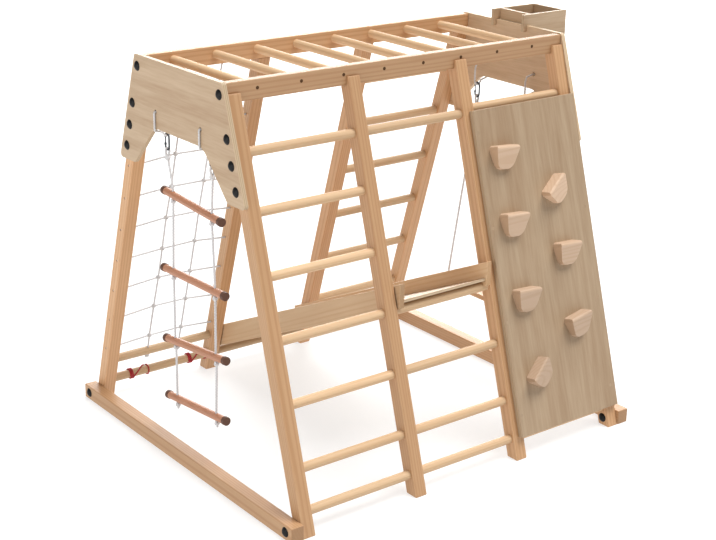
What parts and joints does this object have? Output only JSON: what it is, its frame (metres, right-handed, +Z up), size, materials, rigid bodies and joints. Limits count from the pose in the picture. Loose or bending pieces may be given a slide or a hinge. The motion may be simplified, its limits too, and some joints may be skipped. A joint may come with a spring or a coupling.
{
  "type": "climbing frame",
  "caption": "Wooden A-shaped climbing frame with rungs, monkey bars, a climbing board, a net, a rope ladder, a swing, a ramp and a hung tray.",
  "frame": {"origin": "on the floor, at the middle of the frame's box", "axes": "+X along the frame's length towards the tray and swing, -Y towards the climbing board's side, +Z up"},
  "size_m": [1.5844, 1.282, 1.343],
  "materials": {
    "pine": "satin",
    "plywood": "satin",
    "hold_wood": "satin",
    "stained_wood": "satin",
    "rope": "matte",
    "red_cord": "matte",
    "black_plastic": "satin",
    "brown_plastic": "matte",
    "zinc_steel": "satin",
    "bronzed_steel": "satin",
    "dark_steel": "satin"
  },
  "bodies": {
    "frame": {"leg_front_1": "pine", "leg_front_2": "pine", "leg_front_3": "pine", "leg_front_4": "pine", "leg_back_1": "pine", "leg_back_2": "pine", "leg_back_3": "pine", "leg_back_4": "pine", "rail_front": "pine", "rail_back": "pine", "monkey_bar_1": "pine", "monkey_bar_2": "pine", "monkey_bar_3": "pine", "monkey_bar_4": "pine", "monkey_bar_5": "pine", "monkey_bar_6": "pine", "monkey_bar_7": "pine", "monkey_bar_8": "pine", "rungs_front_left": "pine", "rungs_front_middle": "pine", "rung_front_right": "pine", "rungs_back_right": "pine", "net_bar": "pine", "low_bars_back": "pine", "base_beam_left": "pine", "base_beam_right": "pine", "end_panel_left": "plywood", "end_panel_right": "plywood", "climbing_board": "plywood", "hold_1": "hold_wood", "hold_2": "hold_wood", "hold_3": "hold_wood", "hold_4": "hold_wood", "hold_5": "hold_wood", "hold_6": "hold_wood", "hold_7": "hold_wood", "climbing_net": "rope", "panel_slings": "rope", "net_ties": "red_cord", "bolt_caps": "black_plastic", "frame_bolts": "zinc_steel", "thread_inserts": "zinc_steel", "board_screws": "zinc_steel", "hold_bolts": "zinc_steel", "rail_screws": "bronzed_steel"},
    "rope_ladder": {"ladder_rungs": "stained_wood", "ladder_ropes": "rope", "ladder_caps": "brown_plastic", "ladder_hooks": "dark_steel"},
    "swing": {"swing_seat": "pine", "swing_ropes": "rope", "swing_hooks": "dark_steel"},
    "ramp": {"ramp_deck": "plywood", "ramp_cheek_left": "pine", "ramp_cheek_right": "pine"},
    "tray": {"tray_side_front": "plywood", "tray_side_back": "plywood", "tray_walls": "plywood", "tray_bottom": "plywood"}
  },
  "joints": [
    {"name": "ladder_hinge", "type": "hinge", "parent": "frame", "child": "rope_ladder", "pos_m": [-0.71515, 0, 1.076], "axis": [0, 1, 0], "range_deg": [-25, 30]},
    {"name": "swing_hinge", "type": "hinge", "parent": "frame", "child": "swing", "pos_m": [0.57785, 0, 1.076], "axis": [0, 1, 0], "range_deg": [-25, 25]},
    {"name": "ramp_lift", "type": "slide", "parent": "frame", "child": "ramp", "axis": [0, 0, 1], "range_m": [0, 0.06]},
    {"name": "tray_lift", "type": "slide", "parent": "frame", "child": "tray", "axis": [0, 0, 1], "range_m": [0, 0.08]}
  ]
}
